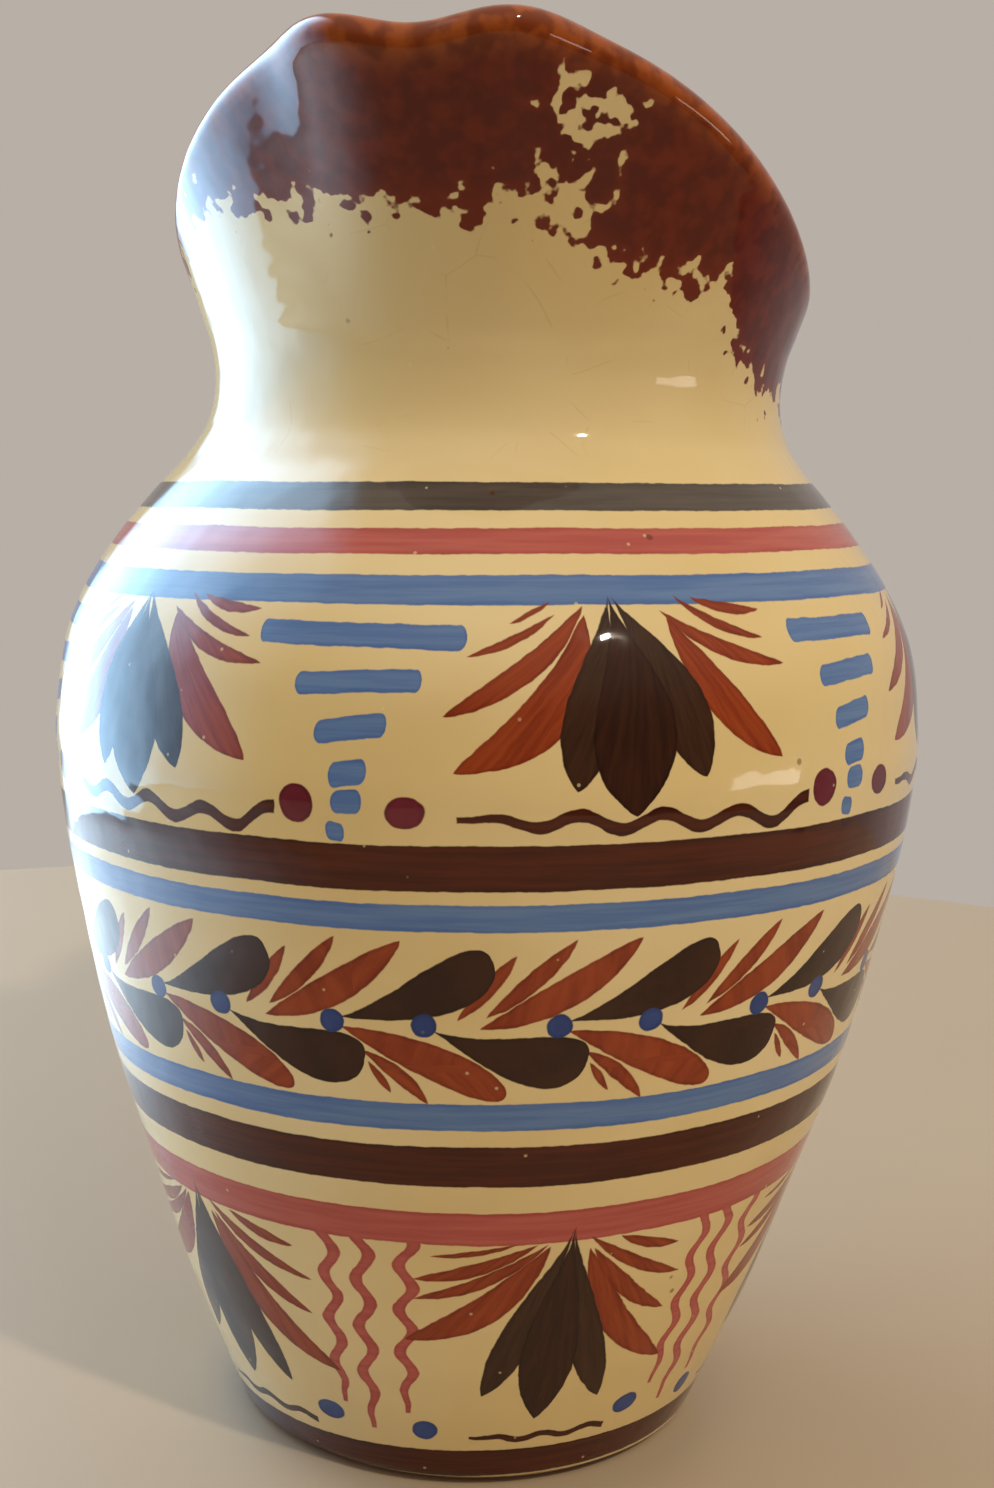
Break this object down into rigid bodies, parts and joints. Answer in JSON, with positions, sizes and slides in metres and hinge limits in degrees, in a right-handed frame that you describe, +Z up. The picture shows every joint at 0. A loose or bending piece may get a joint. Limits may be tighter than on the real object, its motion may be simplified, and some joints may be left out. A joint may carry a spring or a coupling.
{
  "type": "milk jug",
  "caption": "Tall painted milk jug of glazed earthenware: bulging body on a narrow foot, drawn-in neck, swept lip with a pinched spout and a looped strap handle.",
  "frame": {"origin": "middle of the flat foot, on the surface that the jug stands on", "axes": "+Z up the jug's axis, -Y towards the pouring spout, +Y towards the handle, +X to the right when the spout faces the viewer"},
  "size_m": [0.1136, 0.1488, 0.1726],
  "materials": {
    "glaze": "glossy ivory-yellow glaze over a hand-painted decoration, with a sponged red-brown lip"
  },
  "bodies": {
    "root": {"jug": "glaze"}
  },
  "joints": []
}
